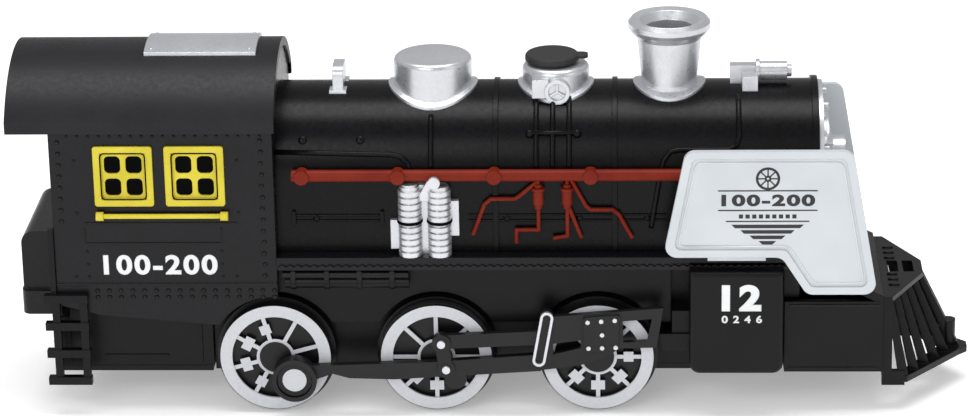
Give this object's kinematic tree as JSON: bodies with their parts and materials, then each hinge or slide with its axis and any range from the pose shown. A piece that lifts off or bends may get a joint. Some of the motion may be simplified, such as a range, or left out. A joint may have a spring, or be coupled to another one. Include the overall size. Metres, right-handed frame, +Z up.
{
  "type": "toy steam locomotive",
  "caption": "Toy steam locomotive with cab, boiler, silver chimney and domes, side plates, spoked wheels with coupled rods, and a slatted front pilot.",
  "frame": {"origin": "middle of the footprint, on the surface that the wheel flanges stand on", "axes": "+X towards the pilot at the front, +Y towards the left side, +Z up"},
  "size_m": [0.2344, 0.0546, 0.0946],
  "materials": {
    "black_body": "satin black moulding",
    "black_roof": "fine matt black moulding",
    "black_chassis": "satin black moulding",
    "black_rods": "satin black moulding",
    "silver_paint": "silver paint on plastic",
    "plate_paint": "pale grey silver paint",
    "red_paint": "red paint",
    "yellow_paint": "yellow paint",
    "black_rubber": "matt rubber",
    "wheel_plastic": "black wheel with pale painted rim and spokes",
    "steel": "bright",
    "gear_plastic": "natural nylon",
    "brass_pinion": "bright",
    "cell_wrap": "plain wrap",
    "circuit_green": "solder mask",
    "clear_lens": "clear",
    "lamp_white": "diffused",
    "tank_plastic": "natural"
  },
  "bodies": {
    "root": {"air_pumps": "silver_paint", "axle_bushes": "brass_pinion", "axle_keeper": "black_chassis", "battery_case": "black_chassis", "battery_cells": "cell_wrap", "battery_contacts": "steel", "boiler_shell": "black_body", "cab_grab_rails": "yellow_paint", "cab_roof": "black_roof", "cab_shell": "black_body", "chimney": "silver_paint", "circuit_board": "circuit_green", "cylinder_block_left": "black_chassis", "cylinder_block_right": "black_chassis", "deflector_left": "plate_paint", "deflector_right": "plate_paint", "filler_base": "silver_paint", "fixing_screws": "steel", "front_apron": "black_chassis", "front_box": "black_chassis", "gear_pins": "steel", "headlamp_bezel": "silver_paint", "headlamp_lens": "clear_lens", "ladders": "black_chassis", "led_lamp": "lamp_white", "motor": "steel", "motor_strap": "steel", "pilot": "black_chassis", "rear_beam": "black_body", "red_pipework": "red_paint", "roof_hatch": "silver_paint", "running_board": "black_body", "smokebox_front": "silver_paint", "steam_dome": "silver_paint", "turbo_generator": "silver_paint", "underframe": "black_chassis", "water_tank": "tank_plastic", "whistle": "silver_paint", "window_frames": "yellow_paint"},
    "rear_wheelset": {"rear_axle": "steel", "wheel_rear_right": "wheel_plastic", "wheel_rear_left": "wheel_plastic"},
    "drive_wheelset": {"drive_axle": "steel", "wheel_drive_right": "wheel_plastic", "wheel_drive_left": "wheel_plastic", "traction_tyres": "black_rubber", "drive_gear": "gear_plastic"},
    "front_wheelset": {"front_axle": "steel", "wheel_front_right": "wheel_plastic", "wheel_front_left": "wheel_plastic"},
    "rods_right": {"rod_right": "black_rods", "rod_trim_right": "silver_paint"},
    "rods_left": {"rod_left": "black_rods", "rod_trim_left": "silver_paint"},
    "idler_lower": {"idler_gear_lower": "gear_plastic"},
    "idler_upper": {"idler_gear_upper": "gear_plastic"},
    "motor_rotor": {"motor_pinion": "brass_pinion"},
    "filler_plug": {"filler_plug": "black_rubber"},
    "battery_door": {"battery_door": "black_chassis"},
    "switch_knob": {"switch_knob": "black_chassis"}
  },
  "joints": [
    {"name": "drive_axle_turn", "type": "hinge", "parent": "root", "child": "drive_wheelset", "pos_m": [-0.0143, 0, 0.0147], "axis": [0, 1, 0], "continuous": true},
    {"name": "rear_axle_turn", "type": "hinge", "parent": "root", "child": "rear_wheelset", "pos_m": [-0.0539, 0, 0.0147], "axis": [0, 1, 0], "continuous": true},
    {"name": "front_axle_turn", "type": "hinge", "parent": "root", "child": "front_wheelset", "pos_m": [0.0253, 0, 0.0147], "axis": [0, 1, 0], "continuous": true},
    {"name": "rod_right_pin", "type": "hinge", "parent": "drive_wheelset", "child": "rods_right", "pos_m": [-0.00947, -0.0245, 0.0102], "axis": [0, 1, 0], "continuous": true},
    {"name": "rod_left_pin", "type": "hinge", "parent": "drive_wheelset", "child": "rods_left", "pos_m": [-0.00947, 0.0245, 0.0102], "axis": [0, 1, 0], "continuous": true},
    {"name": "idler_lower_turn", "type": "hinge", "parent": "root", "child": "idler_lower", "pos_m": [-0.0173, 0.005, 0.02476], "axis": [0, 1, 0], "continuous": true},
    {"name": "idler_upper_turn", "type": "hinge", "parent": "root", "child": "idler_upper", "pos_m": [-0.0143, 0.009, 0.03483], "axis": [0, 1, 0], "continuous": true},
    {"name": "motor_turn", "type": "hinge", "parent": "root", "child": "motor_rotor", "pos_m": [-0.0143, 0.011, 0.04682], "axis": [0, 1, 0], "continuous": true},
    {"name": "filler_plug_lift", "type": "slide", "parent": "root", "child": "filler_plug", "axis": [0, 0, 1], "range_m": [0, 0.009]},
    {"name": "battery_door_slide", "type": "slide", "parent": "root", "child": "battery_door", "axis": [-1, 0, 0], "range_m": [0, 0.036]},
    {"name": "switch_slide", "type": "slide", "parent": "root", "child": "switch_knob", "axis": [1, 0, 0], "range_m": [0, 0.005]}
  ],
  "couplings": [
    {"joint": "rear_axle_turn", "follows": "drive_axle_turn", "ratio": 1},
    {"joint": "rod_right_pin", "follows": "drive_axle_turn", "ratio": -1},
    {"joint": "rod_left_pin", "follows": "drive_axle_turn", "ratio": -1},
    {"joint": "idler_lower_turn", "follows": "drive_axle_turn", "ratio": -2.5},
    {"joint": "idler_upper_turn", "follows": "drive_axle_turn", "ratio": 8},
    {"joint": "motor_turn", "follows": "drive_axle_turn", "ratio": -24}
  ]
}
